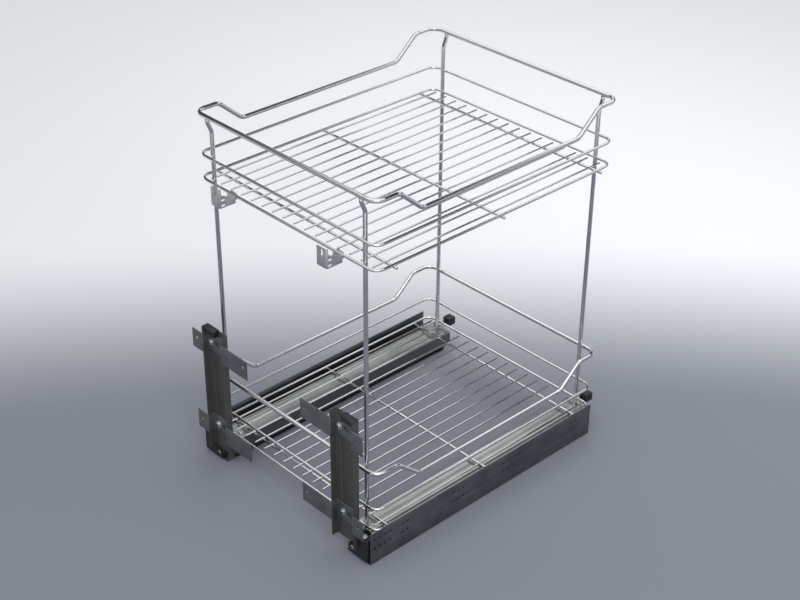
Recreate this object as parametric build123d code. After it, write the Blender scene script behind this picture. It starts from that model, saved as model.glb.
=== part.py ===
from build123d import *
import os

# Pull-out base basket for a kitchen base unit, in millimetres.
# X is the width, Y runs from the door (minus) to the back (plus), and Z is up.
# The origin is on the cabinet floor, in the middle of the part.
# Shapes are drawn for the right-hand side, and the left-hand ones are their mirror images.

# Clearances
weld_gap = 0.05             # between two pieces that are welded, screwed or seated together
running_gap = 0.1           # between a ball and the track that it rolls in
rest_gap = 0.3              # between two pieces that only meet at the end of a stroke
overcut = 1.0               # how far a cut runs past the face that it starts from

# Wire of the baskets
thick_wire = 7.0            # top rings and uprights
thin_wire = 4.5             # rim rings, floor rings and cross wires
floor_wire = 3.0
basket_depth = 485.1        # inside the front and back bars
side_gap = 2.9              # from the outer wall of the runner in to the widest ring
ring_inner_corner = 13.5    # inside corner radius of every ring
rim_rise = 39.5             # rim ring above the floor ring
top_rise = 107.0            # top ring above the floor ring
basket_pitch = 453.4        # upper basket above the lower one
dip_depth = 37.0            # how far the side bars of a top ring dip
dip_shoulder = 43.0         # level length of a side bar beyond the corner, before the slope
dip_run = 43.0              # length of the slope along the bar
dip_bend = 18.0
floor_wire_pitch = 24.0
floor_wire_edge = 11.0      # least distance from a side bar to the first floor wire
floor_wire_front_inset = 7.35
floor_wire_back_inset = 6.35
cross_wire_front_inset = 25.55
cross_wire_back_inset = 33.05
cross_wire_middle = -3.5
cross_wire_overhang = 4.5   # beyond the middle of the ring's side bar
upright_ridge_gap = 0.5     # from an upright to the ridge of the moving profile
upright_joggle = 17.0       # height over which an upright bends out under the top ring
upright_end = 4.0           # straight piece above that bend
upright_bend = 11.0

# Runners
runner_width = 406.0        # over the outer walls of the two cabinet members
runner_length = 500.0
runner_setback = 14.1       # from the door plane to the front end of the cabinet members
runner_sheet = 1.5
runner_bend = 1.6           # bend radius at the middle of the sheet
member_height = 59.0
member_foot_width = 54.0    # bottom web, from the outer wall inwards
outer_gap = 15.5            # open slot between the outer wall and the moving profile
rail_width = 43.0           # over the legs of the moving profile
rail_top = 39.6             # upper face of the moving profile
rail_leg_lift = 10.5        # from the bottom web up to the legs of the moving profile
travel = 470.0

# Holes through the outer walls, in groups of two rows
wall_hole_diameter = 4.6
wall_hole_pitch = 10.8
wall_row_drop = 14.5        # from the top edge to the upper row
wall_row_step = 16.0
wall_group_places = (8.1, 66.3, 175.5, 289.5)   # from the front end to the first hole of a group
wall_group_columns = (4, 2, 3, 3)
rear_group_inset = 46.5     # from the back end to the rear group
rear_group_columns = 2

# Moving profile: the pressed ridge that the baskets rest on, and the rear tongue
rail_front_margin = 1.45    # beyond the front uprights
rail_back_margin = 5.45     # beyond the rear uprights
ridge_inset = 4.0           # from the outer leg
ridge_width = 10.0
ridge_slope = 2.0
ridge_height = 3.0
tongue_ridge_gap = 1.5
tongue_width = 8.5
tongue_length = 20.0

# Middle member, balls and cages
middle_leg_lift = 6.5       # from the bottom web up to the legs of the middle member
middle_setback = 37.15      # behind the front end of the moving profile
ball_diameter = 5.0
track_depth = 0.6           # how deep the ball tracks are pressed into the sheet
lower_side_drop = 11.6      # side balls below the top balls
upper_side_drop = 10.1
lower_row_insets = (6.0, 4.0)
upper_row_insets = (5.0, 5.0)
balls_per_row = 5
cage_sheet = 1.6
cage_bend = 2.0
cage_leg_drop = 6.0         # from the side balls down to the edge of the cage
cage_hole_gap = 0.2
cage_end_gap = 4.5          # from a cage to the end of a member at the end of the travel

# Fixed rail, its rivets, and the stop buffer behind it
fixed_rail_setback = 13.5   # behind the front end of the cabinet member
rivet_diameter = 5.0
rivet_head_diameter = 9.0
rivet_head_height = 1.6
rivets_per_rail = 3
rivet_end_distance = 40.0
buffer_thickness = 10.0
buffer_side_gap = 2.5
buffer_rise = 0.4           # above the middle member
buffer_round = 3.0
buffer_peg_diameter = 6.0

# Door posts and the plates that carry the door
door_distance = 28.05       # from the front of the basket to the door plane
post_offset = -11.4         # middle of a post, from the middle of the rail
post_width = 51.0
post_sheet = 1.5
post_bend = 2.25
post_reach = 15.4           # from the door plane to the back of the post
post_bottom = 21.6
post_top = 256.3
bracket_sheet = 1.5
bracket_bend = 1.75
bracket_height = 34.5
bracket_rises = (71.3, 228.5)       # from the cabinet floor to the middle of each bracket
bracket_arm_end = 89.6      # from the middle of the post inwards to the end of the arm
bracket_tab_end = 47.9      # from the middle of the post outwards to the end of the tab
door_hole_diameter = 5.2
door_hole_rise = 3.1
arm_hole_inset = 10.0
tab_hole_inset = 11.0
bracket_screw_gaps = (8.5, 2.7)     # wall of the recess to the washer, lower and upper bracket
bracket_window_gap = 3.0    # from the washer to the window beside it
bracket_window = 9.0
screw_diameter = 5.0
screw_head_diameter = 10.0
screw_head_height = 3.0
screw_head_round = 0.4      # edge round of a head, as a share of its height
screw_nose = 3.0            # how far a screw reaches past the sheet that it is cut into
washer_diameter = 13.0
washer_thickness = 1.2
cap_width = 29.0
cap_plate = 1.7
cap_plug_depth = 9.5
cap_plug_inset = 2.5

# Base block that joins a post to the moving profile
block_lip = 4.3             # part of the block in front of the web of the post
block_inner_offset = 4.5    # from the middle of the post to the inner face of the block
block_rail_gap = 11.0       # from the back of the block to the moving profile
block_bottom = 6.0
block_rise = 6.4            # above the moving profile
block_outer_gap = 2.5       # to the outer wall of the runner
tang_width = 12.0           # tang that the web of the post ends in, below its flanges
tang_length = 12.0
shank_side_gap = 3.0        # to the legs of the moving profile
shank_end_gap = 5.2         # to the middle member
shank_lift = 1.9            # above the fixed rail
foot_screw_offset = 11.0    # from the middle of the post
foot_screw_drop = 7.2       # below the foot of the post
foot_screw_head = 8.0
foot_screw_head_height = 1.9
foot_recess_diameter = 10.4     # round recess that the head of the foot screw lies in
foot_recess_depth = 2.2
top_screw_inset = 10.7      # from the outer face of the block
top_screw_back = 8.0        # from the back face of the block
top_screw_length = 18.0
shank_screw_offset = -8.0
shank_screw_length = 7.0
shank_screw_head_height = 1.9

# Rear hook on the tongue of the moving profile
hook_setback = 12.0         # behind the moving profile
hook_depth = 17.6
hook_width = 14.5
hook_lift = 1.5             # above the middle member
hook_rise = 11.4            # above the moving profile
hook_round = 3.0

# Clips that hold the upper part of the door to the upper basket
clip_places = (-126.3, 111.0)   # left-hand edge of each clip
clip_sheet = 1.5
clip_bend = 1.75
clip_width = 20.5
clip_rise = 21.3            # above the middle of the floor ring
clip_rear_rise = 1.6
clip_side_rise = 12.0
clip_slot_width = 5.2
clip_slot_height = 11.0
clip_slot_drop = 7.3        # from the top edge to the middle of the slot
side_slot_length = 8.0
side_slot_height = 3.4
side_slot_setback = 6.5     # from the door plane to the middle of a side slot
side_slot_rise = 3.8        # from the bottom edge to the middle of the lower side slot
side_slot_step = 8.8
clamp_width = 13.0
clamp_inset = 1.0
clamp_rise = 2.6
clamp_edge = 2.9            # from the middle of the clamp screw down to the edge of its plate
clip_edge = 3.5             # from the middle of the clamp screw down to the edge of the clip
clamp_screw_diameter = 4.0
clamp_screw_head = 7.0
clamp_screw_head_height = 2.2
clamp_screw_gap = 1.15      # from the clamp screw up to the ring bar
clamp_screw_inset = 8.0

# Places across the width and up the height of a runner
member_outer = runner_width / 2
member_inner = member_outer - runner_sheet
rail_middle = member_inner - outer_gap - rail_width / 2
track_gap = ball_diameter + 2 * running_gap - 2 * track_depth
moving_inner = rail_width / 2 - runner_sheet
middle_outer = moving_inner - track_gap
middle_inner = middle_outer - runner_sheet
fixed_outer = middle_inner - track_gap
middle_top = rail_top - runner_sheet - track_gap
fixed_top = middle_top - runner_sheet - track_gap
upper_track_height = rail_top - runner_sheet - track_gap / 2
lower_track_height = fixed_top + track_gap / 2
upper_track_side = moving_inner - track_gap / 2
lower_track_side = fixed_outer + track_gap / 2
upper_side_height = upper_track_height - upper_side_drop
lower_side_height = lower_track_height - lower_side_drop
ridge_end = rail_width / 2 - ridge_inset
ridge_start = ridge_end - ridge_width
tongue_end = ridge_start - tongue_ridge_gap
tongue_middle = rail_middle + tongue_end - tongue_width / 2
lower_top_rows = (lower_row_insets[0] - fixed_outer, fixed_outer - lower_row_insets[1])
upper_top_rows = (upper_row_insets[0] - middle_outer, ridge_start - upper_row_insets[1])

# Places of the baskets
ring_inner_half_width = member_outer - side_gap - thick_wire
ring_inner_half_depth = basket_depth / 2
lower_cross_height = rail_top + ridge_height + weld_gap + thin_wire / 2
lower_floor_height = lower_cross_height + thin_wire + weld_gap
basket_heights = {"lower": lower_floor_height, "upper": lower_floor_height + basket_pitch}
basket_turns = {"lower": 0, "upper": 180}   # the same basket, turned round when it is the upper one
upright_x = rail_middle + ridge_start - upright_ridge_gap - thick_wire / 2
upright_y = ring_inner_half_depth - weld_gap - thick_wire / 2

# Places along the depth
door_plane = -(ring_inner_half_depth + thick_wire + door_distance)
runner_front = door_plane + runner_setback
runner_back = runner_front + runner_length
fixed_rail_front = runner_front + fixed_rail_setback
buffer_front = runner_back - buffer_thickness
moving_front = -(upright_y + thick_wire / 2 + rail_front_margin)
moving_back = upright_y + thick_wire / 2 + rail_back_margin
middle_front = moving_front + middle_setback
middle_back = buffer_front - rest_gap
lower_cage_front = fixed_rail_front + travel / 4 + cage_end_gap
lower_cage_back = middle_back - travel / 4 - cage_end_gap
upper_cage_front = middle_front + travel / 4 + cage_end_gap
upper_cage_back = moving_back - travel / 4 - cage_end_gap
block_back = moving_front - block_rail_gap
shank_back = middle_front - shank_end_gap
shank_screw_place = (moving_front + shank_back) / 2
hook_front = moving_back + hook_setback

# Places on the door posts, the base blocks and the door clips
post_middle = rail_middle + post_offset
post_inner_half = post_width / 2 - post_sheet
post_web_back = door_plane + post_reach
post_front = door_plane + bracket_sheet / 2 + bracket_bend + weld_gap
recess_back = post_web_back - post_sheet - weld_gap
recess_face = recess_back - bracket_sheet
bracket_screw_places = tuple(
    gap + washer_diameter / 2 - post_inner_half for gap in bracket_screw_gaps
)
block_inner = post_middle + block_inner_offset
block_outer = member_inner - block_outer_gap
block_top = rail_top + block_rise
block_front = post_web_back - post_sheet - block_lip
foot_screw_x = post_middle + foot_screw_offset
foot_screw_height = post_bottom - foot_screw_drop
foot_screw_seat = block_front + foot_recess_depth - weld_gap
tang_outer = foot_screw_x + tang_width / 2
tang_bottom = post_bottom - tang_length
clip_ring_face = -(ring_inner_half_depth + thin_wire) - weld_gap
clip_ring_height = basket_heights["upper"]
clamp_screw_drop = thin_wire / 2 + clamp_screw_gap + clamp_screw_diameter / 2
clip_bottom = clip_ring_height - clamp_screw_drop - clip_edge


def box_between(low, high):
    """A plain block from its lowest corner to its highest corner."""
    size = [high[axis] - low[axis] for axis in range(3)]
    middle = [(high[axis] + low[axis]) / 2 for axis in range(3)]
    return Pos(*middle) * Box(*size)


def rod(start, direction, diameter, length):
    """A straight round bar from one point along one direction."""
    place = Plane(origin=start, z_dir=direction)
    return place * Cylinder(diameter / 2, length, align=(Align.CENTER, Align.CENTER, Align.MIN))


def bent_sheet(points, thickness, bend):
    """The cut face of a folded sheet, from the points of its middle line."""
    return trace(FilletPolyline(*points, radius=bend), line_width=thickness)


def along_depth(section, front, back):
    """A profile drawn in X and Z, pulled from front to back."""
    return Pos(0, back, 0) * extrude(Plane.XZ * section, back - front)


def along_height(section, bottom, top):
    """A profile drawn in X and Y, pulled from bottom to top."""
    return Pos(0, 0, bottom) * extrude(section, top - bottom)


def swept_wire(line, diameter):
    """A round wire along a line."""
    start = Plane(origin=line @ 0, z_dir=line % 0)
    return sweep(start * Circle(diameter / 2), path=line)


def save(name, pieces):
    """Write one named piece, or one group of like pieces, to its own file."""
    solids = [solid for piece in pieces for solid in piece.solids()]
    shape = solids[0] if len(solids) == 1 else Compound(children=solids)
    shape.label = name
    export_step(shape, f"parts/{name}.step")
    print(name, len(solids), "solids")


def save_pair(name, piece):
    """Write a right-hand piece and its mirror image."""
    save("right_" + name, [piece])
    save("left_" + name, [mirror(piece, about=Plane.YZ)])


def save_pair_of_groups(name, pieces):
    """Write a right-hand group of pieces and its mirror image."""
    save("right_" + name, pieces)
    save("left_" + name, [mirror(piece, about=Plane.YZ) for piece in pieces])


# Runners

def track(side, height, front, back):
    """The space that one row of balls sweeps, used to press its track into a profile."""
    start = (rail_middle + side, front, height)
    return rod(start, (0, 1, 0), ball_diameter + 2 * running_gap, back - front)


def upper_tracks(front, back):
    rows = [(-upper_track_side, upper_side_height), (upper_track_side, upper_side_height)]
    rows += [(place, upper_track_height) for place in upper_top_rows]
    return [track(side, height, front, back) for side, height in rows]


def lower_tracks(front, back):
    rows = [(-lower_track_side, lower_side_height), (lower_track_side, lower_side_height)]
    rows += [(place, lower_track_height) for place in lower_top_rows]
    return [track(side, height, front, back) for side, height in rows]


def inverted_channel(half_width, top, leg_bottom):
    """Middle line of a channel that is open below."""
    outside = half_width - runner_sheet / 2
    roof = top - runner_sheet / 2
    return [
        (rail_middle - outside, leg_bottom),
        (rail_middle - outside, roof),
        (rail_middle + outside, roof),
        (rail_middle + outside, leg_bottom),
    ]


def wall_holes():
    """Screw holes through the outer wall, in groups of short rows."""
    firsts = [runner_front + place for place in wall_group_places]
    firsts.append(runner_back - rear_group_inset)
    upper_row = member_height - wall_row_drop
    holes = []
    for first, columns in zip(firsts, wall_group_columns + (rear_group_columns,)):
        for column in range(columns):
            for height in (upper_row, upper_row - wall_row_step):
                start = (member_inner - runner_sheet, first + column * wall_hole_pitch, height)
                holes.append(rod(start, (1, 0, 0), wall_hole_diameter, 3 * runner_sheet))
    return holes


def rivet_places():
    """Where the fixed rail is riveted to the bottom web."""
    first = fixed_rail_front + rivet_end_distance
    last = buffer_front - rivet_end_distance
    step = (last - first) / (rivets_per_rail - 1)
    return [first + step * number for number in range(rivets_per_rail)]


def cabinet_member():
    """Outer wall and bottom web of the runner, one folded sheet."""
    half = runner_sheet / 2
    section = bent_sheet(
        [
            (member_outer - half, member_height),
            (member_outer - half, half),
            (member_outer - member_foot_width, half),
        ],
        runner_sheet,
        runner_bend,
    )
    member = along_depth(section, runner_front, runner_back)
    member -= wall_holes()
    for place in rivet_places():
        start = (rail_middle, place, -overcut)
        member -= rod(start, (0, 0, 1), rivet_diameter + 2 * weld_gap, runner_sheet + 2 * overcut)
    start = (rail_middle, buffer_front + buffer_thickness / 2, -overcut)
    member -= rod(start, (0, 0, 1), buffer_peg_diameter + 2 * weld_gap, runner_sheet + 2 * overcut)
    return member


def fixed_rail():
    """Rectangular tube on the bottom web, with ball tracks in its sides and top."""
    bottom = runner_sheet + weld_gap
    height = fixed_top - bottom
    middle = Pos(rail_middle, bottom + height / 2)
    outer_round = runner_bend + runner_sheet / 2
    inner_round = runner_bend - runner_sheet / 2
    section = middle * RectangleRounded(2 * fixed_outer, height, outer_round)
    section -= middle * RectangleRounded(
        2 * (fixed_outer - runner_sheet), height - 2 * runner_sheet, inner_round
    )
    rail = along_depth(section, fixed_rail_front, buffer_front - weld_gap)
    rail -= lower_tracks(fixed_rail_front, buffer_front)
    for place in rivet_places():
        start = (rail_middle, place, bottom - runner_sheet)
        rail -= rod(start, (0, 0, 1), rivet_diameter + 2 * weld_gap, 3 * runner_sheet)
    return rail


def rail_rivets():
    """Rivets with their heads inside the tube and their ends flush with the web."""
    rivets = []
    for place in rivet_places():
        head_bottom = 2 * (runner_sheet + weld_gap)
        shank = rod((rail_middle, place, weld_gap), (0, 0, 1), rivet_diameter, head_bottom)
        head = rod((rail_middle, place, head_bottom), (0, 0, 1), rivet_head_diameter, rivet_head_height)
        rivets.append(shank + head)
    return rivets


def stop_buffer():
    """Block behind the fixed rail that the middle member comes to rest against."""
    half = moving_inner - buffer_side_gap
    low = (rail_middle - half, buffer_front, runner_sheet + weld_gap)
    high = (rail_middle + half, runner_back, middle_top + buffer_rise)
    block = box_between(low, high)
    block = fillet(block.edges().filter_by(Axis.Y).group_by(Axis.Z)[-1], buffer_round)
    start = (rail_middle, buffer_front + buffer_thickness / 2, weld_gap)
    return block + rod(start, (0, 0, 1), buffer_peg_diameter, 2 * runner_sheet)


def middle_member():
    """Channel that rides between the fixed rail and the moving profile."""
    points = inverted_channel(middle_outer, middle_top, runner_sheet + middle_leg_lift)
    section = bent_sheet(points, runner_sheet, runner_bend)
    member = along_depth(section, middle_front, middle_back)
    member -= lower_tracks(middle_front, middle_back)
    member -= upper_tracks(middle_front, middle_back)
    return member


def cage(side, roof, side_height, rows, front, back):
    """Folded strip that keeps its balls apart, with one hole for each ball."""
    points = [
        (rail_middle - side, side_height - cage_leg_drop),
        (rail_middle - side, roof),
        (rail_middle + side, roof),
        (rail_middle + side, side_height - cage_leg_drop),
    ]
    strip = along_depth(bent_sheet(points, cage_sheet, cage_bend), front, back)
    hole = ball_diameter + 2 * cage_hole_gap
    for place in ball_places(front, back):
        start = (rail_middle - 2 * side, place, side_height)
        strip -= rod(start, (1, 0, 0), hole, 4 * side)
        for row in rows:
            start = (rail_middle + row, place, roof - ball_diameter)
            strip -= rod(start, (0, 0, 1), hole, 2 * ball_diameter)
    return strip


def ball_places(front, back):
    """Balls evenly spaced along a cage, half a step from its ends."""
    step = (back - front) / balls_per_row
    return [front + step * (number + 0.5) for number in range(balls_per_row)]


def balls(side, roof, side_height, rows, front, back):
    """Four rows of balls: one on each side and two on top."""
    spots = [(-side, side_height), (side, side_height)] + [(row, roof) for row in rows]
    return [
        Pos(rail_middle + across, place, height) * Sphere(ball_diameter / 2)
        for across, height in spots
        for place in ball_places(front, back)
    ]


def moving_profile():
    """Inverted channel that carries the baskets, with a pressed ridge and a rear tongue."""
    half = runner_sheet / 2
    outside = rail_width / 2 - half
    roof = rail_top - half
    leg_bottom = runner_sheet + rail_leg_lift
    points = [
        (rail_middle - outside, leg_bottom),
        (rail_middle - outside, roof),
        (rail_middle + ridge_start, roof),
        (rail_middle + ridge_start + ridge_slope, roof + ridge_height),
        (rail_middle + ridge_end - ridge_slope, roof + ridge_height),
        (rail_middle + ridge_end, roof),
        (rail_middle + outside, roof),
        (rail_middle + outside, leg_bottom),
    ]
    section = bent_sheet(points, runner_sheet, runner_bend)
    profile = along_depth(section, moving_front, moving_back)
    profile += tongue(0)
    profile -= upper_tracks(moving_front - overcut, moving_back)
    hole = (rail_middle + shank_screw_offset, shank_screw_place, rail_top - 2 * runner_sheet)
    profile -= rod(hole, (0, 0, 1), screw_diameter + 2 * weld_gap, 3 * runner_sheet)
    return profile


def tongue(gap):
    """Flat tongue at the back of the moving profile, grown by a gap for the hook's pocket."""
    half = tongue_width / 2 + gap
    low = (tongue_middle - half, moving_back - runner_sheet, rail_top - runner_sheet - gap)
    high = (tongue_middle + half, moving_back + tongue_length + gap, rail_top + gap)
    return box_between(low, high)


def rear_hook():
    """Plastic end piece pushed on to the tongue of the moving profile."""
    low = (tongue_middle - hook_width / 2, hook_front, middle_top + hook_lift)
    high = (tongue_middle + hook_width / 2, hook_front + hook_depth, rail_top + hook_rise)
    hook = box_between(low, high)
    hook = fillet(hook.edges().filter_by(Axis.X).group_by(Axis.Z)[-1], hook_round)
    return hook - tongue(weld_gap)


# Baskets

def ring_half_size(wire):
    """Half width and half depth of a ring at the middle of its wire."""
    return ring_inner_half_width + wire / 2, ring_inner_half_depth + wire / 2


def flat_ring(wire, height):
    """A level loop of wire with round corners."""
    half_width, half_depth = ring_half_size(wire)
    corners = [
        (half_width, -half_depth, height),
        (half_width, half_depth, height),
        (-half_width, half_depth, height),
        (-half_width, -half_depth, height),
    ]
    line = FilletPolyline(*corners, radius=ring_inner_corner + wire / 2, close=True)
    return swept_wire(line, wire)


def dipped_ring(wire, height):
    """A loop of wire whose side bars dip between their ends."""
    half_width, half_depth = ring_half_size(wire)
    shoulder = half_depth - dip_shoulder
    foot = shoulder - dip_run
    side = [
        (-half_depth, height),
        (-shoulder, height),
        (-foot, height - dip_depth),
        (foot, height - dip_depth),
        (shoulder, height),
        (half_depth, height),
    ]
    points = [(half_width, y, z) for y, z in side]
    points += [(-half_width, -y, z) for y, z in side]
    corner = ring_inner_corner + wire / 2
    radii = 2 * [corner, dip_bend, dip_bend, dip_bend, dip_bend, corner]
    line = FilletPolyline(*points, radius=radii, close=True)
    return swept_wire(line, wire)


def cross_wires(ring_height):
    """Wires from side to side under the floor ring, as they lie in the lower basket."""
    height = cross_wire_height(ring_height)
    half = ring_half_size(thin_wire)[0] + cross_wire_overhang
    places = (
        cross_wire_front_inset - ring_inner_half_depth,
        cross_wire_middle,
        ring_inner_half_depth - cross_wire_back_inset,
    )
    return [rod((-half, place, height), (1, 0, 0), thin_wire, 2 * half) for place in places]


def cross_wire_height(ring_height):
    """Middle of the cross wires, which are welded under the floor ring."""
    return ring_height - thin_wire - weld_gap


def floor_wire_set(ring_height):
    """Wires from front to back that lie on the cross wires, as in the lower basket."""
    height = cross_wire_height(ring_height) + thin_wire / 2 + weld_gap + floor_wire / 2
    steps = int(2 * (ring_inner_half_width - floor_wire_edge) / floor_wire_pitch)
    first = -floor_wire_pitch * steps / 2
    front = floor_wire_front_inset - ring_inner_half_depth
    length = ring_inner_half_depth - floor_wire_back_inset - front
    return [
        rod((first + floor_wire_pitch * number, front, height), (0, 1, 0), floor_wire, length)
        for number in range(steps + 1)
    ]


def upright():
    """Front right upright, from the moving profile to the underside of the upper top ring."""
    bar = ring_half_size(thick_wire)[1]
    top = basket_heights["upper"] + top_rise - thick_wire / 2 - weld_gap
    line = FilletPolyline(
        (upright_x, -upright_y, rail_top + weld_gap),
        (upright_x, -upright_y, top - upright_end - upright_joggle),
        (upright_x, -bar, top - upright_end),
        (upright_x, -bar, top),
        radius=upright_bend,
    )
    return swept_wire(line, thick_wire)


# Door posts

def post(side):
    """Channel that is open towards the door, with screw holes through its web and a tang."""
    half = post_sheet / 2
    outside = post_width / 2 - half
    middle = side * post_middle
    section = bent_sheet(
        [
            (middle - outside, post_front),
            (middle - outside, post_web_back - half),
            (middle + outside, post_web_back - half),
            (middle + outside, post_front),
        ],
        post_sheet,
        post_bend,
    )
    channel = along_height(section, post_bottom, post_top)
    tang = post_tang()
    channel += tang if side > 0 else mirror(tang, about=Plane.YZ)
    for place, level in zip(bracket_screw_places, bracket_rises):
        channel -= web_hole(middle + place, level)
    channel -= web_hole(side * foot_screw_x, foot_screw_height)
    return channel


def post_tang():
    """Tang below the web of the right-hand post, which is let into the base block."""
    low = (tang_outer - tang_width, post_web_back - post_sheet, tang_bottom)
    return box_between(low, (tang_outer, post_web_back, post_bottom + post_sheet))


def web_hole(x, z):
    """Screw hole through the web of a post."""
    start = (x, post_web_back - 2 * post_sheet, z)
    return rod(start, (0, 1, 0), screw_diameter + 2 * weld_gap, 3 * post_sheet)


def door_bracket(side, level, screw_place):
    """Hat-shaped plate: long arm inwards, recess inside the post, short tab outwards."""
    half = bracket_sheet / 2
    wall = post_inner_half - weld_gap - half
    front = door_plane + half
    back = recess_back - half
    middle = side * post_middle
    points = [
        (middle - side * bracket_arm_end, front),
        (middle - side * wall, front),
        (middle - side * wall, back),
        (middle + side * wall, back),
        (middle + side * wall, front),
        (middle + side * bracket_tab_end, front),
    ]
    section = bent_sheet(points, bracket_sheet, bracket_bend)
    plate = along_height(section, level - bracket_height / 2, level + bracket_height / 2)
    for place in (arm_hole_inset - bracket_arm_end, bracket_tab_end - tab_hole_inset):
        start = (middle + side * place, door_plane - bracket_sheet, level + door_hole_rise)
        plate -= rod(start, (0, 1, 0), door_hole_diameter, 3 * bracket_sheet)
    window_step = washer_diameter / 2 + bracket_window_gap + bracket_window / 2
    for place, size in ((0, screw_diameter + 2 * weld_gap), (window_step, bracket_window)):
        start = (middle + screw_place + place, recess_face - bracket_sheet, level)
        plate -= rod(start, (0, 1, 0), size, 3 * bracket_sheet)
    return plate


def bracket_screw_spots():
    """Middle of every bracket screw, on both posts and at both levels."""
    return [
        (side * post_middle + place, level)
        for side in (-1, 1)
        for place, level in zip(bracket_screw_places, bracket_rises)
    ]


def bracket_washers():
    """Washers on the floor of each recess."""
    ring = Circle(washer_diameter / 2) - Circle(screw_diameter / 2 + weld_gap)
    washer = extrude(Plane.XZ * ring, washer_thickness)
    face = recess_face - weld_gap
    return [Pos(x, face, z) * washer for x, z in bracket_screw_spots()]


def round_head_screw(diameter, head_diameter, head_height, length):
    """A screw along minus Z, with the underside of its head at the origin."""
    head = Cylinder(head_diameter / 2, head_height, align=(Align.CENTER, Align.CENTER, Align.MIN))
    rim = head.edges().filter_by(GeomType.CIRCLE).group_by(Axis.Z)[-1]
    head = fillet(rim, screw_head_round * head_height)
    shank = Cylinder(diameter / 2, length, align=(Align.CENTER, Align.CENTER, Align.MAX))
    return head + shank


def facing_door(x, y, z):
    """Place for a screw whose head faces the door."""
    return Location(Plane(origin=(x, y, z), z_dir=(0, -1, 0)))


def bracket_screws():
    """Screws that hold the brackets to the posts."""
    head_seat = recess_face - washer_thickness - 2 * weld_gap
    length = post_web_back + screw_nose - head_seat
    screw = round_head_screw(screw_diameter, screw_head_diameter, screw_head_height, length)
    return [facing_door(x, head_seat, z) * screw for x, z in bracket_screw_spots()]


def post_cap():
    """Plastic plug in the outer half of the top of a post."""
    outer = post_middle + post_width / 2
    inner = outer - cap_width
    plate_low = (inner, post_front, post_top + weld_gap)
    plate_high = (outer, post_web_back, post_top + cap_plate)
    plug_low = (inner, post_front + cap_plug_inset, post_top - cap_plug_depth)
    plug_high = (
        post_middle + post_inner_half - weld_gap,
        post_web_back - post_sheet - weld_gap,
        post_top + cap_plate / 2,
    )
    plug = box_between(plug_low, plug_high)
    plug = fillet(plug.edges().filter_by(Axis.Z).group_by(Axis.X)[-1], post_bend)
    return box_between(plate_low, plate_high) + plug


# Base block

def base_block():
    """Block that the post stands on, with a shank inside the moving profile."""
    block = box_between((block_inner, block_front, block_bottom), (block_outer, block_back, block_top))
    outside = post_middle + post_width / 2 + weld_gap
    foot_low = (block_inner - overcut, block_front - overcut, post_bottom - weld_gap)
    foot_high = (outside, post_web_back + weld_gap, block_top + overcut)
    block -= box_between(foot_low, foot_high)
    slot_low = (block_inner - overcut, post_web_back - post_sheet - weld_gap, tang_bottom - weld_gap)
    slot_high = (tang_outer + weld_gap, post_web_back + weld_gap, post_bottom)
    block -= box_between(slot_low, slot_high)
    shank_half = moving_inner - shank_side_gap
    shank_low = (rail_middle - shank_half, block_back - overcut, fixed_top + shank_lift)
    shank_high = (rail_middle + shank_half, shank_back, rail_top - runner_sheet - weld_gap)
    block += box_between(shank_low, shank_high)
    hole = screw_diameter + 2 * weld_gap
    foot_screw_place = (foot_screw_x, block_front - overcut, foot_screw_height)
    block -= rod(foot_screw_place, (0, 1, 0), foot_recess_diameter, foot_recess_depth + overcut)
    foot_hole = (foot_screw_x, foot_screw_seat, foot_screw_height)
    block -= rod(foot_hole, (0, 1, 0), hole, foot_screw_length() + weld_gap)
    block -= rod(top_screw_spot(0), (0, 0, -1), hole, top_screw_length + weld_gap)
    shank_hole = (rail_middle + shank_screw_offset, shank_screw_place, rail_top)
    block -= rod(shank_hole, (0, 0, -1), hole, shank_screw_length + 2 * weld_gap)
    return block


def foot_screw_length():
    """Reaches through the lip of the block and the tang of the post into the block."""
    return post_web_back + screw_nose - foot_screw_seat


def top_screw_spot(lift):
    """Middle of the height screw on the top face of the block."""
    return (block_outer - top_screw_inset, block_back - top_screw_back, block_top + lift)


def base_screws():
    """Three screws: through the tang, into the top of the block, and through the moving profile."""
    foot_screw = round_head_screw(
        screw_diameter, foot_screw_head, foot_screw_head_height, foot_screw_length()
    )
    top_screw = round_head_screw(
        screw_diameter, screw_head_diameter, screw_head_height, top_screw_length
    )
    shank_screw = round_head_screw(
        screw_diameter, screw_head_diameter, shank_screw_head_height, shank_screw_length
    )
    return [
        facing_door(foot_screw_x, foot_screw_seat, foot_screw_height) * foot_screw,
        Pos(*top_screw_spot(weld_gap)) * top_screw,
        Pos(rail_middle + shank_screw_offset, shank_screw_place, rail_top + weld_gap) * shank_screw,
    ]


# Upper door clips

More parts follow.
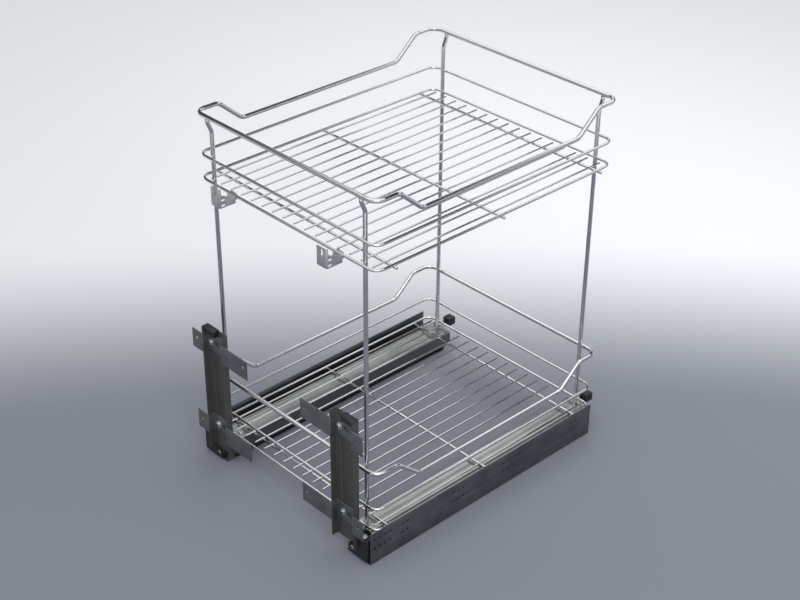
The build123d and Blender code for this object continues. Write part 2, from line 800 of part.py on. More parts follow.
def door_clip(left):
    """Folded clip: slotted plate for the door, side plate, and rear plate in front of the ring bar."""
    half = clip_sheet / 2
    right = left + clip_width
    front = door_plane + half
    back = clip_ring_face - half
    ring = clip_ring_height
    points = [(left, front), (right - half, front), (right - half, back), (left, back)]
    section = bent_sheet(points, clip_sheet, clip_bend)
    clip = along_height(section, clip_bottom, ring + clip_rise)
    side_front = door_plane + clip_sheet + clip_bend
    rear_face = clip_ring_face - clip_sheet - clip_bend
    cut_edge = Polyline(
        (side_front, ring + clip_side_rise),
        (rear_face, ring + clip_rear_rise),
        (0, ring + clip_rear_rise),
        (0, ring + clip_rise + overcut),
        (side_front, ring + clip_rise + overcut),
        close=True,
    )
    cut = extrude(Plane.YZ * make_face(cut_edge), clip_width + 2 * overcut)
    clip -= Pos(left - overcut, 0, 0) * cut
    slot_middle = (left + clip_width / 2, door_plane + 2 * clip_sheet, ring + clip_rise - clip_slot_drop)
    slot = SlotOverall(clip_slot_height, clip_slot_width, rotation=90)
    place = Plane(origin=slot_middle, z_dir=(0, -1, 0), x_dir=(1, 0, 0))
    clip -= extrude(place * slot, 3 * clip_sheet)
    side_slot = SlotOverall(side_slot_length, side_slot_height)
    for height in (side_slot_rise, side_slot_rise + side_slot_step):
        slot_middle = (right - 2 * clip_sheet, door_plane + side_slot_setback, clip_bottom + height)
        place = Plane(origin=slot_middle, z_dir=(1, 0, 0), x_dir=(0, 1, 0))
        clip -= extrude(place * side_slot, 3 * clip_sheet)
    start = (left + clamp_screw_inset, clip_ring_face - 2 * clip_sheet, ring - clamp_screw_drop)
    return clip - rod(start, (0, 1, 0), clamp_screw_diameter + 2 * weld_gap, 3 * clip_sheet)


def clamp_plate(left):
    """Plate behind the ring bar, pulled against it by the clamp screw."""
    screw_height = clip_ring_height - clamp_screw_drop
    low = (left + clamp_inset, -ring_inner_half_depth + weld_gap, screw_height - clamp_edge)
    high = (left + clamp_inset + clamp_width, low[1] + clip_sheet, clip_ring_height + clamp_rise)
    start = (left + clamp_screw_inset, low[1] - overcut, screw_height)
    hole = rod(start, (0, 1, 0), clamp_screw_diameter + 2 * weld_gap, clip_sheet + 2 * overcut)
    return box_between(low, high) - hole


def clamp_screw(left):
    """Screw through the rear plate of a clip into its clamp plate."""
    seat = clip_ring_face - clip_sheet - weld_gap
    length = -ring_inner_half_depth + weld_gap + 2 * clip_sheet - seat
    screw = round_head_screw(
        clamp_screw_diameter, clamp_screw_head, clamp_screw_head_height, length
    )
    return facing_door(left + clamp_screw_inset, seat, clip_ring_height - clamp_screw_drop) * screw


os.makedirs("parts", exist_ok=True)

save_pair("cabinet_member", cabinet_member())
save_pair("fixed_rail", fixed_rail())
save_pair_of_groups("rail_rivets", rail_rivets())
save_pair("stop_buffer", stop_buffer())
save_pair("middle_member", middle_member())
save_pair("moving_profile", moving_profile())
save_pair("rear_hook", rear_hook())

lower_set = (
    lower_track_side,
    lower_track_height,
    lower_side_height,
    lower_top_rows,
    lower_cage_front,
    lower_cage_back,
)
upper_set = (
    upper_track_side,
    upper_track_height,
    upper_side_height,
    upper_top_rows,
    upper_cage_front,
    upper_cage_back,
)
save_pair("lower_ball_cage", cage(*lower_set))
save_pair_of_groups("lower_balls", balls(*lower_set))
save_pair("upper_ball_cage", cage(*upper_set))
save_pair_of_groups("upper_balls", balls(*upper_set))

for basket, ring_height in basket_heights.items():
    save(basket + "_top_ring", [dipped_ring(thick_wire, ring_height + top_rise)])
    save(basket + "_rim_ring", [flat_ring(thin_wire, ring_height + rim_rise)])
    save(basket + "_floor_ring", [flat_ring(thin_wire, ring_height)])
    turn = Rot(0, 0, basket_turns[basket])
    save(basket + "_cross_wires", [turn * wire for wire in cross_wires(ring_height)])
    save(basket + "_floor_wires", [turn * wire for wire in floor_wire_set(ring_height)])

front_upright = upright()
save_pair("front_upright", front_upright)
save_pair("rear_upright", mirror(front_upright, about=Plane.XZ))

for hand, side in (("left", -1), ("right", 1)):
    save(hand + "_door_post", [post(side)])
    for level_name, level, screw_place in zip(("lower", "upper"), bracket_rises, bracket_screw_places):
        save(f"{hand}_{level_name}_door_bracket", [door_bracket(side, level, screw_place)])
save("bracket_washers", bracket_washers())
save("bracket_screws", bracket_screws())
save_pair("post_cap", post_cap())
save_pair("base_block", base_block())
save_pair_of_groups("base_screws", base_screws())

for hand, left_edge in zip(("left", "right"), clip_places):
    save(hand + "_door_clip", [door_clip(left_edge)])
save("clip_clamp_plates", [clamp_plate(left_edge) for left_edge in clip_places])
save("clip_clamp_screws", [clamp_screw(left_edge) for left_edge in clip_places])
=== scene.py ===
import bmesh
import bpy
from math import cos, pi, radians, sin, tan
from mathutils import Euler, Matrix, Vector


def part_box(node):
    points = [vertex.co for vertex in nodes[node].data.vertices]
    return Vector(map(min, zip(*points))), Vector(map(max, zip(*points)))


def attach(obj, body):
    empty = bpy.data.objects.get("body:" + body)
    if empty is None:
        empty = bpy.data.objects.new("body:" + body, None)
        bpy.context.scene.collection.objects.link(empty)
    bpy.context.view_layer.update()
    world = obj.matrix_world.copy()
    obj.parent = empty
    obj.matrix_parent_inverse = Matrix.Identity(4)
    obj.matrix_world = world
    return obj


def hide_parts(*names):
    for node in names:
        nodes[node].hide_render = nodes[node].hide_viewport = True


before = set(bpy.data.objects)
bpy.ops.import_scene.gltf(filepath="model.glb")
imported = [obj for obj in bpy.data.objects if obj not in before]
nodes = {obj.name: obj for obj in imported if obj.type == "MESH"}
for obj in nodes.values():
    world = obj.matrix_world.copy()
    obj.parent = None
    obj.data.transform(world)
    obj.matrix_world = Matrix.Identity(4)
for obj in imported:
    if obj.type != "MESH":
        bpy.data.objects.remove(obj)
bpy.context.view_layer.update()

# Pull-out base basket: two chromed wire baskets on a carriage between two concealed runners.
# Lengths are in metres. X is the width, Y runs from the door to the back, and Z is up.


# Cabinet members
# The outer wall and bottom web of each runner, folded from one cold-rolled sheet and screwed to the
# cabinet. The sheet is zinc plated and dull, with rolling marks along its length and eased edges.

merge_distance = 0.000002   # corners nearer than this are one
flat_angle = radians(1)     # faces that turn by less are made one
eased_angle = radians(35)   # edges that turn by more are eased
smooth_angle = radians(50)  # edges that turn by more are shaded sharp
sheet_ease = 0.00025


class Level:
    """A value that varies over a surface. Sums and products on it become nodes."""

    def __init__(self, shader, socket):
        self.shader = shader
        self.socket = socket

    def math(self, operation, first, second):
        return self.shader.node("ShaderNodeMath", {"operation": operation}, {0: first, 1: second})

    def __add__(self, other):
        return self.math("ADD", self, other)

    def __radd__(self, other):
        return self.math("ADD", other, self)

    def __sub__(self, other):
        return self.math("SUBTRACT", self, other)

    def __rsub__(self, other):
        return self.math("SUBTRACT", other, self)

    def __mul__(self, other):
        return self.math("MULTIPLY", self, other)

    def __rmul__(self, other):
        return self.math("MULTIPLY", other, self)


class Shader:
    """The nodes of one finish, or of the room."""

    def __init__(self, tree):
        self.tree = tree

    def node(self, kind, settings, sockets, output=0):
        """Adds one node. Its settings come first, then the values or links of its sockets."""
        made = self.tree.nodes.new(kind)
        for setting, value in settings.items():
            setattr(made, setting, value)
        self.feed(made, sockets)
        return Level(self, made.outputs[output])

    def feed(self, made, sockets):
        for socket, value in sockets.items():
            if isinstance(value, Level):
                self.tree.links.new(value.socket, made.inputs[socket])
            else:
                made.inputs[socket].default_value = value

    def step(self, level, low, high):
        """0 below low, 1 above high, and a smooth rise between them."""
        settings = {"interpolation_type": "SMOOTHSTEP"}
        sockets = {"Value": level, "From Min": low, "From Max": high}
        return self.node("ShaderNodeMapRange", settings, sockets)

    def mixed(self, share, first, second):
        """From the first colour at a share of 0 to the second at 1."""
        colours = {0: share, 6: first, 7: second}
        return self.node("ShaderNodeMix", {"data_type": "RGBA"}, colours, 2)


class Finish(Shader):
    """The finish of one kind of surface: a material and the nodes that vary it."""

    def __init__(self, name):
        self.material = bpy.data.materials.new(name)
        self.material.use_nodes = True
        super().__init__(self.material.node_tree)
        self.place = self.node("ShaderNodeTexCoord", {}, {}, "Object")

    def noise(self, scale, stretch=(1, 1, 1), detail=3.0):
        """Soft random spots, from 0 to 1, that may be drawn out along an axis."""
        place = self.node("ShaderNodeMapping", {}, {"Vector": self.place, "Scale": stretch})
        sockets = {"Vector": place, "Scale": scale, "Detail": detail}
        return self.node("ShaderNodeTexNoise", {}, sockets)

    def bump(self, height, distance):
        return self.node("ShaderNodeBump", {}, {"Height": height, "Distance": distance}, "Normal")

    def surface(self, **sockets):
        named = {name.replace("_", " "): value for name, value in sockets.items()}
        self.feed(self.tree.nodes["Principled BSDF"], named)
        return self.material


def grey(red, green, blue):
    return (red, green, blue, 1)


def dress(material, *names):
    """Gives carried-over nodes their finish."""
    for name in names:
        for place in nodes[name].material_slots:
            place.material = material


def pair(name):
    """The left and right node of one kind."""
    return "left_" + name, "right_" + name


def add_object(mesh, name, material):
    """Puts a mesh in the scene."""
    data = bpy.data.meshes.new(name)
    mesh.to_mesh(data)
    mesh.free()
    data.materials.append(material)
    made = bpy.data.objects.new(name, data)
    bpy.context.scene.collection.objects.link(made)
    return made


def add_piece(mesh, name, material, body, slot, *stands_for):
    """Makes a piece of a mesh. It rides on a body and stands for the nodes named, if any."""
    bmesh.ops.recalc_face_normals(mesh, faces=mesh.faces)
    piece = add_object(mesh, name, material)
    piece.data.shade_smooth()
    piece.data.set_sharp_from_angle(angle=smooth_angle)
    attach(piece, body)
    if stands_for:
        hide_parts(*stands_for)


def copied(node):
    """The mesh of a node, with its loose triangles joined."""
    mesh = bmesh.new()
    mesh.from_mesh(nodes[node].data)
    bmesh.ops.remove_doubles(mesh, verts=mesh.verts, dist=merge_distance)
    return mesh


def add_eased(node, ease, material, body, slot):
    """A node again with its sharp edges eased, as tumbling or moulding leaves them."""
    mesh = copied(node)
    bmesh.ops.dissolve_limit(mesh, angle_limit=flat_angle, verts=mesh.verts, edges=mesh.edges)
    sharp = [edge for edge in mesh.edges if edge.calc_face_angle(0) > eased_angle]
    bmesh.ops.bevel(
        mesh,
        geom=sharp,
        offset=ease,
        affect="EDGES",
        segments=2,
        profile=0.5,
        material=-1,
        clamp_overlap=True,
    )
    bmesh.ops.triangulate(mesh, faces=mesh.faces)
    add_piece(mesh, node + "_eased", material, body, slot, node)


def zinc_sheet(name, dark, light, roughness, shaded_sides=None):
    """Zinc plate on rolled steel: faint clouds of colour and fine marks along the sheet.

    If shaded_sides is given, it holds the colour of painted shade for the side faces, and the heights
    between which that shade gives way to the colour of the top.
    """
    finish = Finish(name)
    clouds = finish.noise(scale=22.0, detail=4.0)
    marks = finish.noise(scale=1.0, stretch=(900.0, 9.0, 900.0), detail=4.0)
    pits = finish.noise(scale=2600.0, detail=2.0)
    tone = finish.step(0.6 * clouds + 0.4 * marks, low=0.35, high=0.65)
    colour = finish.mixed(tone, dark, light)
    # Painted shade: below a height the sheet takes a darker colour.
    if shaded_sides is not None:
        painted_shade_colour, low, high = shaded_sides
        height = finish.node("ShaderNodeSeparateXYZ", {}, {0: finish.place}, "Z")
        colour = finish.mixed(finish.step(height, low, high), painted_shade_colour, colour)
    return finish.surface(
        Base_Color=colour,
        Metallic=0.9,
        Roughness=roughness + 0.14 * clouds + 0.08 * marks,
        Normal=finish.bump(0.7 * marks + 0.3 * pits, distance=0.00006),
    )


dull_zinc = zinc_sheet(
    "dull_zinc",
    dark=grey(0.12, 0.125, 0.135),
    light=grey(0.20, 0.205, 0.215),
    roughness=0.30,
)
for member in pair("cabinet_member"):
    add_eased(member, sheet_ease, dull_zinc, "cabinet_members", "outer_runner_steel")


# Fixed rails and middle members
# The folded tube riveted to each bottom web, and the channel that rides on it. Both lie in the dark
# under the moving profile, and are of steel sheet, zinc plated and lightly greased.

greased_zinc = zinc_sheet(
    "greased_zinc",
    dark=grey(0.20, 0.205, 0.21),
    light=grey(0.30, 0.305, 0.31),
    roughness=0.22,
)
dress(greased_zinc, *pair("fixed_rail"), *pair("rail_rivets"), *pair("middle_member"))


# Balls, cages and stop buffers
# Ground and polished steel balls, which roll between the channels in cages of black plastic. The
# stop buffer is a moulded block behind each fixed rail, and stops the middle member.

moulded_ease = 0.0005


def bearing_steel():
    """Polished balls with a trace of grease."""
    finish = Finish("bearing_steel")
    smear = finish.noise(scale=700.0)
    return finish.surface(
        Base_Color=grey(0.56, 0.57, 0.59),
        Metallic=1.0,
        Roughness=0.08 + 0.10 * smear,
    )


def black_plastic():
    """Moulded polyamide with a fine eroded grain and paler rubbed spots."""
    finish = Finish("black_plastic")
    grain = finish.noise(scale=3800.0, detail=2.0)
    rubbed = finish.step(finish.noise(scale=90.0, detail=5.0), low=0.55, high=0.75)
    return finish.surface(
        Base_Color=finish.mixed(rubbed, grey(0.012, 0.013, 0.014), grey(0.024, 0.025, 0.027)),
        Roughness=0.42 + 0.16 * grain,
        Normal=finish.bump(grain, distance=0.00008),
    )


moulded = black_plastic()
dress(bearing_steel(), *pair("lower_balls"), *pair("upper_balls"))
dress(moulded, *pair("lower_ball_cage"), *pair("upper_ball_cage"))
for buffer in pair("stop_buffer"):
    add_eased(buffer, moulded_ease, moulded, "cabinet_members", "black_plastic")


# Moving profiles
# The channels that carry the baskets out, folded from zinc-plated sheet, with a ridge pressed up
# under the cross wires. Their side faces are painted darker than their tops, which is painted shade.

ridge_height = 0.003
profile_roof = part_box("left_moving_profile")[1][2] - ridge_height
painted_shade_top = profile_roof - 0.0025        # below it the side faces are painted darker: painted shade
unshaded_from = profile_roof - 0.0015       # above it the sheet has the colour of the top
# The colour of the painted shade on the side faces of the moving profiles.
painted_shade_colour = grey(0.17, 0.178, 0.18)
side_shaded_zinc = zinc_sheet(
    "side_shaded_zinc",
    dark=grey(0.34, 0.355, 0.35),
    light=grey(0.46, 0.475, 0.47),
    roughness=0.24,
    shaded_sides=(painted_shade_colour, painted_shade_top, unshaded_from),
)
dress(side_shaded_zinc, *pair("moving_profile"))


# Rear hooks and base blocks
# Black moulded end pieces. The hook is pushed on to the tongue at the back of the moving profile,
# and the block at the front fills its end and carries the foot of the door post.

end_piece_ease = 0.0006

for end_piece in (*pair("rear_hook"), *pair("base_block")):
    add_eased(end_piece, end_piece_ease, moulded, "carriage", "black_plastic")


# Door posts
# Channels folded from steel sheet, open towards the door and powder coated dark. Each stands on its
# base block, and a moulded cap closes its top.

def powder_coat():
    """Baked powder: near-black with an orange-peel skin."""
    finish = Finish("powder_coat")
    peel = finish.noise(scale=900.0, detail=2.0)
    tone = finish.noise(scale=30.0)
    return finish.surface(
        Base_Color=finish.mixed(tone, grey(0.052, 0.051, 0.050), grey(0.070, 0.068, 0.066)),
        Roughness=0.34 + 0.10 * peel,
        Normal=finish.bump(peel, distance=0.00012),
    )


coated = powder_coat()
for post in pair("door_post"):
    add_eased(post, sheet_ease, coated, "carriage", "post_steel")
for cap in pair("post_cap"):
    add_eased(cap, moulded_ease, moulded, "carriage", "black_plastic")


# Door brackets
# Hat-shaped plates pressed from zinc-plated sheet, which carry the lower part of the door. There are
# two to a post, and a screw with a washer holds each one.

pressed_zinc = zinc_sheet(
    "pressed_zinc",
    dark=grey(0.17, 0.178, 0.182),
    light=grey(0.255, 0.263, 0.268),
    roughness=0.34,
)
for bracket in (*pair("lower_door_bracket"), *pair("upper_door_bracket")):
    add_eased(bracket, sheet_ease, pressed_zinc, "carriage", "bracket_steel")


# Screws and washers
# Steel screws with domed heads and cross recesses, zinc plated bright. Those of the brackets have
# washers, and the others hold the base blocks.

washer_ease = 0.0003
drive_share = 0.55          # width of the recess, as a share of the head's width
recess_share = 0.6          # depth of the recess, as a share of the head's height
recess_taper = 0.6          # width at the recess's floor, as a share of that at its mouth
crown_share = 0.72          # width of the flat crown, as a share of the head's width
dome_share = 0.6            # height of the dome, as a share of the head's height
dome_steps = 4
point_share = 0.6           # width of the screw's end, as a share of the shank's width
head_sides = 24


def solids_of(node):
    """The lowest and highest corner of each loose solid of a node, in the same order each run."""
    mesh = copied(node)
    unseen = set(mesh.verts)
    corners = []
    while unseen:
        reached = [unseen.pop()]
        for vert in reached:
            fresh = {edge.other_vert(vert) for edge in vert.link_edges} & unseen
            unseen -= fresh
            reached += fresh
        low = Vector([min(vert.co[axis] for vert in reached) for axis in range(3)])
        high = Vector([max(vert.co[axis] for vert in reached) for axis in range(3)])
        corners.append((low, high))
    mesh.free()
    return sorted(corners, key=lambda box: tuple(box[0]))


def joined(meshes):
    """One mesh of several."""
    whole = bmesh.new()
    for mesh in meshes:
        data = bpy.data.meshes.new("part")
        mesh.to_mesh(data)
        mesh.free()
        whole.from_mesh(data)
        bpy.data.meshes.remove(data)
    return whole


def drawn_out(mesh, rim):
    """Extrudes a ring of edges, and gives the corners and the edges of the new ring."""
    grown = bmesh.ops.extrude_edge_only(mesh, edges=rim)["geom"]
    verts = [part for part in grown if isinstance(part, bmesh.types.BMVert)]
    edges = [part for part in grown if isinstance(part, bmesh.types.BMEdge)]
    return verts, edges


def grow(mesh, rim, scale, rise):
    """Pulls a ring of edges on: scaled about the Z axis, and raised."""
    verts, edges = drawn_out(mesh, rim)
    bmesh.ops.scale(mesh, verts=verts, vec=(scale, scale, 1))
    bmesh.ops.translate(mesh, verts=verts, vec=(0, 0, rise))
    return edges


def crossed_screw(head_width, head_height, shank_width, length):
    """A screw on the Z axis. The underside of its domed head is at the origin, its point below."""
    mesh = bmesh.new()
    drive = drive_share * head_width
    depth = recess_share * head_height
    recess_reach = recess_taper * drive / 2
    top = Matrix.Translation((0, 0, head_height))
    bottom = Matrix.Translation((0, 0, head_height - depth))
    # Nine squares less the four at the corners leave a cross.
    bmesh.ops.create_grid(mesh, x_segments=3, y_segments=3, size=recess_reach, matrix=bottom)
    corners = [face for face in mesh.faces if face.calc_center_median().xy.length > 0.8 * recess_reach]
    bmesh.ops.delete(mesh, geom=corners, context="FACES")
    cross = [edge for edge in mesh.edges if edge.is_boundary]
    mouth = grow(mesh, cross, 1 / recess_taper, depth)
    crown = crown_share * head_width / 2
    made = bmesh.ops.create_circle(mesh, segments=head_sides, radius=crown, matrix=top)["verts"]
    rim = [edge for edge in mesh.edges if edge.verts[0] in made]
    bmesh.ops.bridge_loops(mesh, edges=mouth + rim)
    bow = head_width / 2 - crown
    reach = crown
    fallen = 0.0
    for step in range(1, dome_steps + 1):
        turn = step * pi / (2 * dome_steps)
        wider = crown + bow * sin(turn)
        lower = dome_share * head_height * (1 - cos(turn))
        rim = grow(mesh, rim, wider / reach, fallen - lower)
        reach = wider
        fallen = lower
    point = shank_width / 5
    rim = grow(mesh, rim, 1, fallen - head_height)
    rim = grow(mesh, rim, shank_width / head_width, 0)
    rim = grow(mesh, rim, 1, point - length)
    rim = grow(mesh, rim, point_share, -point)
    bmesh.ops.contextual_create(mesh, geom=rim)
    return mesh


def add_screws(node, head_height, shank_width):
    """Draws every screw of a node again, where that node has it."""
    screws = []
    for low, high in solids_of(node):
        size = high - low
        upright = abs(size.x - size.y) < abs(size.x - size.z)
        along = 2 if upright else 1
        seat = (low + high) / 2
        seat[along] = high.z - head_height if upright else low.y + head_height
        screw = crossed_screw(size.x, head_height, shank_width, size[along] - head_height)
        turn = Matrix.Rotation(0 if upright else radians(90), 4, "X")
        screw.transform(Matrix.Translation(seat) @ turn)
        screws.append(screw)
    add_piece(joined(screws), node + "_crossed", bright_plate, "carriage", "bright_fastener", node)


bright_plate = zinc_sheet(
    "bright_plate",
    dark=grey(0.50, 0.51, 0.50),
    light=grey(0.64, 0.65, 0.64),
    roughness=0.26,
)
add_eased("bracket_washers", washer_ease, bright_plate, "carriage", "bright_fastener")
add_screws("bracket_screws", head_height=0.003, shank_width=0.005)
for base_screws in pair("base_screws"):
    add_screws(base_screws, head_height=0.0019, shank_width=0.005)


# Basket wires
# Rings, cross wires, floor wires and uprights of drawn steel wire, bent round and welded at every
# crossing before the whole basket is chromed.

thick_wire = 0.007
thin_wire = 0.0045
floor_wire = 0.003
wire_sides = {thick_wire: 24, thin_wire: 16, floor_wire: 12}
bend_step = radians(7.5)    # turn of one step of a bend
least_bend_steps = 3
ring_seam = 0.00001         # the ends of a ring meet within this
end_ease = 0.12             # ease of a sheared end, as a share of the wire's width
inner_corner = 0.0135       # inside corner radius of every ring
dip_depth = 0.037           # how far the side bars of a top ring dip
dip_shoulder = 0.043        # level length of a side bar beyond the corner
dip_run = 0.043             # level distance over which it dips
dip_bend = 0.018
floor_wire_pitch = 0.024
middle_cross_wires = {"lower": -0.0035, "upper": 0.0035}    # their places along the depth
upright_end = 0.004         # straight piece under the top ring
upright_joggle = 0.017      # height over which an upright bends out
upright_bend = 0.011


class Wire:
    """A round wire that grows from its start, by straight runs and bends."""

    def __init__(self, start, heading, width, capped):
        self.mesh = bmesh.new()
        self.place = Vector(start)
        self.heading = Vector(heading).normalized()
        turn = self.heading.to_track_quat("Z", "Y").to_matrix().to_4x4()
        bmesh.ops.create_circle(
            self.mesh,
            segments=wire_sides[width],
            radius=width / 2,
            cap_ends=capped,
            matrix=Matrix.Translation(self.place) @ turn,
        )
        self.rim = self.mesh.edges[:]

    def run(self, length):
        verts, self.rim = drawn_out(self.mesh, self.rim)
        bmesh.ops.translate(self.mesh, verts=verts, vec=self.heading * length)
        self.place = self.place + self.heading * length

    def bend(self, heading, radius):
        axis = self.heading.cross(heading).normalized()
        angle = self.heading.angle(heading)
        centre = self.place + axis.cross(self.heading) * radius
        steps = max(least_bend_steps, round(angle / bend_step))
        spun = bmesh.ops.spin(self.mesh, geom=self.rim, cent=centre, axis=axis, angle=angle, steps=steps)
        self.rim = [part for part in spun["geom_last"] if isinstance(part, bmesh.types.BMEdge)]
        self.place = centre + Matrix.Rotation(angle, 3, axis) @ (self.place - centre)
        self.heading = heading

    def follow(self, corners, radii):
        """Runs through the corners, each rounded by its radius, and stops at the last point."""
        for corner, beyond, radius in zip(corners, corners[1:], radii):
            heading = (beyond - corner).normalized()
            setback = radius * tan(self.heading.angle(heading) / 2)
            self.run((corner - self.place).length - setback)
            self.bend(heading, radius)
        self.run((corners[-1] - self.place).length)


def ring(corners, radii, width):
    """A closed loop of wire that starts and ends in the middle of its front bar."""
    start = (corners[-1] + corners[0]) / 2
    wire = Wire(start, corners[0] - start, width, False)
    wire.follow(corners + [start], radii)
    bmesh.ops.remove_doubles(wire.mesh, verts=wire.mesh.verts, dist=ring_seam)
    return wire.mesh


def cut_wire(points, radii, width):
    """An open wire with sheared ends, whose rims are a little rounded."""
    wire = Wire(points[0], points[1] - points[0], width, True)
    start_rim = wire.rim
    wire.follow(points[1:], radii)
    bmesh.ops.contextual_create(wire.mesh, geom=wire.rim)
    bmesh.ops.bevel(
        wire.mesh,
        geom=start_rim + wire.rim,
        offset=end_ease * width,
        affect="EDGES",
        segments=2,
        profile=0.5,
        material=-1,
    )
    return wire.mesh


def straight_wire(start, end, width):
    return cut_wire([Vector(start), Vector(end)], [], width)


def chrome_plate():
    """Bright chrome: a faint haze and the drawing marks that the plate doesn't quite fill."""
    finish = Finish("chrome_plate")
    haze = finish.noise(scale=40.0, detail=5.0)
    drawn = finish.noise(scale=1400.0, detail=2.0)
    return finish.surface(
        Base_Color=finish.mixed(haze, grey(0.60, 0.61, 0.625), grey(0.70, 0.71, 0.72)),
        Metallic=1.0,
        Roughness=0.06 + 0.12 * haze,
        Normal=finish.bump(drawn, distance=0.00003),
    )


chrome = chrome_plate()


def add_wires(mesh, node):
    add_piece(mesh, node + "_wire", chrome, "carriage", "chrome_wire", node)


def add_flat_ring(node):
    """A level ring as large as its node."""
    low, high = map(Vector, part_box(node))
    x = high.x - thin_wire / 2
    y = high.y - thin_wire / 2
    z = (low.z + high.z) / 2
    corners = [Vector(place) for place in ((x, -y, z), (x, y, z), (-x, y, z), (-x, -y, z))]
    add_wires(ring(corners, 4 * [inner_corner + thin_wire / 2], thin_wire), node)


def add_dipped_ring(node):
    """A top ring, whose side bars dip between their ends."""
    high = Vector(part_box(node)[1])
    x = high.x - thick_wire / 2
    y = high.y - thick_wire / 2
    z = high.z - thick_wire / 2
    shoulder = y - dip_shoulder
    foot = shoulder - dip_run
    side = [(-y, z), (-shoulder, z), (-foot, z - dip_depth)]
    side += [(foot, z - dip_depth), (shoulder, z), (y, z)]
    corners = [Vector((x, along, up)) for along, up in side]
    corners += [Vector((-x, -along, up)) for along, up in side]
    corner = inner_corner + thick_wire / 2
    radii = 2 * [corner, dip_bend, dip_bend, dip_bend, dip_bend, corner]
    add_wires(ring(corners, radii, thick_wire), node)


def cross_wire_places(basket):
    """Where the cross wires lie along the depth."""
    low, high = map(Vector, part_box(basket + "_cross_wires"))
    return low.y + thin_wire / 2, middle_cross_wires[basket], high.y - thin_wire / 2


def add_cross_wires(basket):
    node = basket + "_cross_wires"
    low, high = map(Vector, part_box(node))
    z = (low.z + high.z) / 2
    bars = [straight_wire((low.x, y, z), (high.x, y, z), thin_wire) for y in cross_wire_places(basket)]
    add_wires(joined(bars), node)


def floor_wire_places(basket):
    """Where the floor wires lie across the width."""
    low, high = map(Vector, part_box(basket + "_floor_wires"))
    first = low.x + floor_wire / 2
    number = round((high.x - low.x - floor_wire) / floor_wire_pitch) + 1
    return [first + floor_wire_pitch * count for count in range(number)]


def add_floor_wires(basket):
    node = basket + "_floor_wires"
    low, high = map(Vector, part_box(node))
    z = (low.z + high.z) / 2
    bars = [straight_wire((x, low.y, z), (x, high.y, z), floor_wire) for x in floor_wire_places(basket)]
    add_wires(joined(bars), node)


def add_upright(node, outwards):
    """Stands on the moving profile and bends out under the upper top ring."""
    low, high = map(Vector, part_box(node))
    x = (low.x + high.x) / 2
    straight_y = (high.y if outwards < 0 else low.y) + outwards * thick_wire / 2
    bent_y = (low.y if outwards < 0 else high.y) - outwards * thick_wire / 2
    bend_z = high.z - upright_end
    points = [
        Vector((x, straight_y, low.z)),
        Vector((x, straight_y, bend_z - upright_joggle)),
        Vector((x, bent_y, bend_z)),
        Vector((x, bent_y, high.z)),
    ]
    add_wires(cut_wire(points, 2 * [upright_bend], thick_wire), node)


for basket in ("lower", "upper"):
    add_dipped_ring(basket + "_top_ring")
    add_flat_ring(basket + "_rim_ring")
    add_flat_ring(basket + "_floor_ring")
    add_cross_wires(basket)
    add_floor_wires(basket)
for name in pair("front_upright"):
    add_upright(name, -1)
for name in pair("rear_upright"):
    add_upright(name, 1)


# Welds
# Where two wires cross they are pressed together hot, and a small round bead of steel wells out. The
# chrome covers the beads as it does the wires.

floor_bead = (0.0019, 0.0019, 0.0010)       # a floor wire on a cross wire
ring_bead = (0.0022, 0.0022, 0.0012)        # a floor ring on a cross wire
foot_bead = (0.0044, 0.0044, 0.0011)        # an upright on a moving profile
side_bead = (0.0020, 0.0011, 0.0020)        # an upright beside a ring
side_rings = ["lower_floor_ring", "lower_rim_ring", "lower_top_ring"]
side_rings += ["upper_floor_ring", "upper_rim_ring"]


def bead(mesh, place, spread):
    """A flattened drop of weld, spread by so much each way."""
    shape = Matrix.LocRotScale(Vector(place), None, Vector(spread))
    bmesh.ops.create_uvsphere(mesh, u_segments=10, v_segments=6, radius=1, matrix=shape)


def weld_beads(basket):
    """Beads between the cross wires and what lies on them."""
    beads = bmesh.new()
    ring_low, ring_high = map(Vector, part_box(basket + "_floor_ring"))
    cross_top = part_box(basket + "_cross_wires")[1][2]
    for y in cross_wire_places(basket):
        for x in floor_wire_places(basket):
            bead(beads, (x, y, cross_top), floor_bead)
        for x in (ring_low.x + thin_wire / 2, ring_high.x - thin_wire / 2):
            bead(beads, (x, y, ring_low.z), ring_bead)
    return beads


def upright_beads():
    """Beads between the uprights and the rings that they are welded to, and at their feet."""
    beads = bmesh.new()
    for name in (*pair("front_upright"), *pair("rear_upright")):
        low, high = map(Vector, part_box(name))
        outwards = -1 if name.endswith("front_upright") else 1
        x = (low.x + high.x) / 2
        inner = high.y if outwards < 0 else low.y
        seam = inner + outwards * thick_wire
        bead(beads, (x, inner + outwards * thick_wire / 2, low.z), foot_bead)
        for ring_node in side_rings:
            ring_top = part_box(ring_node)[1][2]
            width = thick_wire if ring_node.endswith("top_ring") else thin_wire
            bead(beads, (x, seam, ring_top - width / 2), side_bead)
    return beads


for basket in ("lower", "upper"):
    add_piece(weld_beads(basket), basket + "_weld_beads", chrome, "carriage", "chrome_wire")
add_piece(upright_beads(), "upright_weld_beads", chrome, "carriage", "chrome_wire")


# Door clips
# Clips folded from zinc-plated sheet, which hold the upper part of the door. A plate and a screw
# clamp each one round the front bar of the upper basket.

clip_zinc = zinc_sheet(
    "clip_zinc",
    dark=grey(0.44, 0.45, 0.46),
    light=grey(0.60, 0.61, 0.62),
    roughness=0.34,
)
for clip in (*pair("door_clip"), "clip_clamp_plates"):
    add_eased(clip, sheet_ease, clip_zinc, "carriage", "bracket_steel")
add_screws("clip_clamp_screws", head_height=0.0022, shank_width=0.004)


# Studio
# A floor painted mid-grey round the part, which is painted shade, and paling away behind it, a wide
# cloth that shines down over the back of it, a soft lamp beside the camera, and a room that is lit
# overhead, pale low down and dark elsewhere.

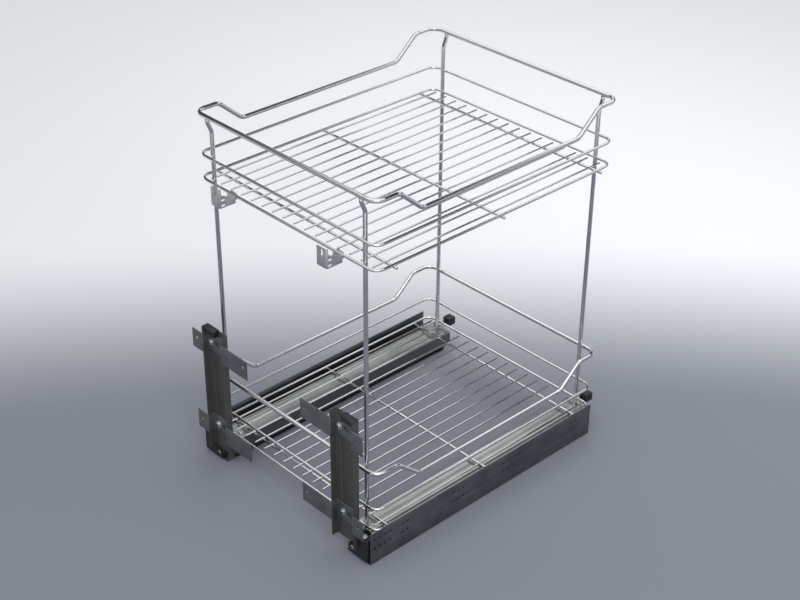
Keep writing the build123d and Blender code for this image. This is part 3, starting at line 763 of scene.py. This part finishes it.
view_azimuth = 46.51        # of the camera, which the painted shade in the middle of the floor lies square to
floor_reach = 40.0
# The mid-grey near the part is painted shade on the floor.
painted_shade_floor = grey(0.20, 0.216, 0.260)
far_floor = grey(0.80, 0.82, 0.85)


def floor_paint():
    """Mid-grey round the part as painted shade, and near-white from a little way behind it."""
    finish = Finish("floor_paint")
    painted_shade_middle = {
        "Vector": finish.place,
        "Location": (0.337, -0.154, 0),
        "Rotation": (0, 0, radians(view_azimuth)),
        "Scale": (2.6, 1.0, 1.0),
    }
    square = finish.node("ShaderNodeMapping", {"vector_type": "TEXTURE"}, painted_shade_middle)
    away = finish.node("ShaderNodeVectorMath", {"operation": "LENGTH"}, {0: square}, "Value")
    share = finish.step(away, low=0.47, high=1.07)
    return finish.surface(Base_Color=finish.mixed(share, painted_shade_floor, far_floor), Roughness=0.8)


floor_mesh = bmesh.new()
bmesh.ops.create_grid(floor_mesh, x_segments=1, y_segments=1, size=floor_reach)
floor = add_object(floor_mesh, "floor", floor_paint())


def lamp(name, width, depth, brightness, place, turn):
    """A soft rectangular lamp that shines down its own Z axis. Its face is as bright as it says."""
    light = bpy.data.lights.new(name, "AREA")
    light.shape = "RECTANGLE"
    light.size = width
    light.size_y = depth
    light.energy = brightness * pi * width * depth
    stand = bpy.data.objects.new(name, light)
    stand.location = place
    stand.rotation_euler = turn
    stand.visible_camera = False
    bpy.context.scene.collection.objects.link(stand)


lamp("back_cloth", width=2.2, depth=0.75, brightness=1.3, place=(-0.2, 1.02, 1.2), turn=(0, 0, 0))

side_turn = Euler((radians(52), 0, radians(50)))
side_aim = Vector((0, 0, 0.3))
side_distance = 3.2
side_place = side_aim + side_turn.to_matrix() @ Vector((0, 0, side_distance))
lamp("camera_side_lamp", width=1.8, depth=1.8, brightness=3.5, place=side_place, turn=side_turn)

dark_room = grey(0.06, 0.062, 0.066)
pale_band = grey(0.80, 0.83, 0.87)
overhead_light = grey(1.30, 1.30, 1.30)
world = bpy.data.worlds.new("studio")
bpy.context.scene.world = world
world.use_nodes = True
room = Shader(world.node_tree)
sight = room.node("ShaderNodeTexCoord", {}, {}, "Generated")
right, back, up = (room.node("ShaderNodeSeparateXYZ", {}, {0: sight}, axis) for axis in "XYZ")
# The overhead light stops short of the left side and of the back.
overhead = room.step(up, low=0.40, high=0.60) * room.step(right, low=-0.73, high=-0.61)
overhead = overhead * (1 - room.step(back, low=0.46, high=0.53))
# The pale band lies low down, and is wider at the back than on the camera's side.
rise = 0.08 * room.step(back, low=-0.40, high=0.10)
band = 1 - room.step(up - rise, low=0.03, high=0.12)
walls = room.mixed(band, dark_room, pale_band)
room_light = room.mixed(overhead, walls, overhead_light)
room.feed(room.tree.nodes["Background"], {"Color": room_light})
bpy.context.scene.view_settings.view_transform = "Standard"


# Camera
# It stands in front of the basket and to its right, and looks down on it as the photograph does.
# A small shift and roll set the part in the frame as it stands there.

camera_place = (1.5311, -1.4653, 1.5631)
camera_elevation = 32.36
camera_roll = 0.46
lens_data = bpy.data.cameras.new("camera")
lens_data.lens = 69.79
lens_data.sensor_width = 36.0
lens_data.shift_x = -0.0006
lens_data.shift_y = 0.0339
camera = bpy.data.objects.new("camera", lens_data)
aim = Euler((radians(90 - camera_elevation), 0, radians(view_azimuth))).to_matrix()
camera.rotation_euler = (aim @ Matrix.Rotation(radians(camera_roll), 3, "Z")).to_euler()
camera.location = camera_place
bpy.context.scene.collection.objects.link(camera)
bpy.context.scene.camera = camera
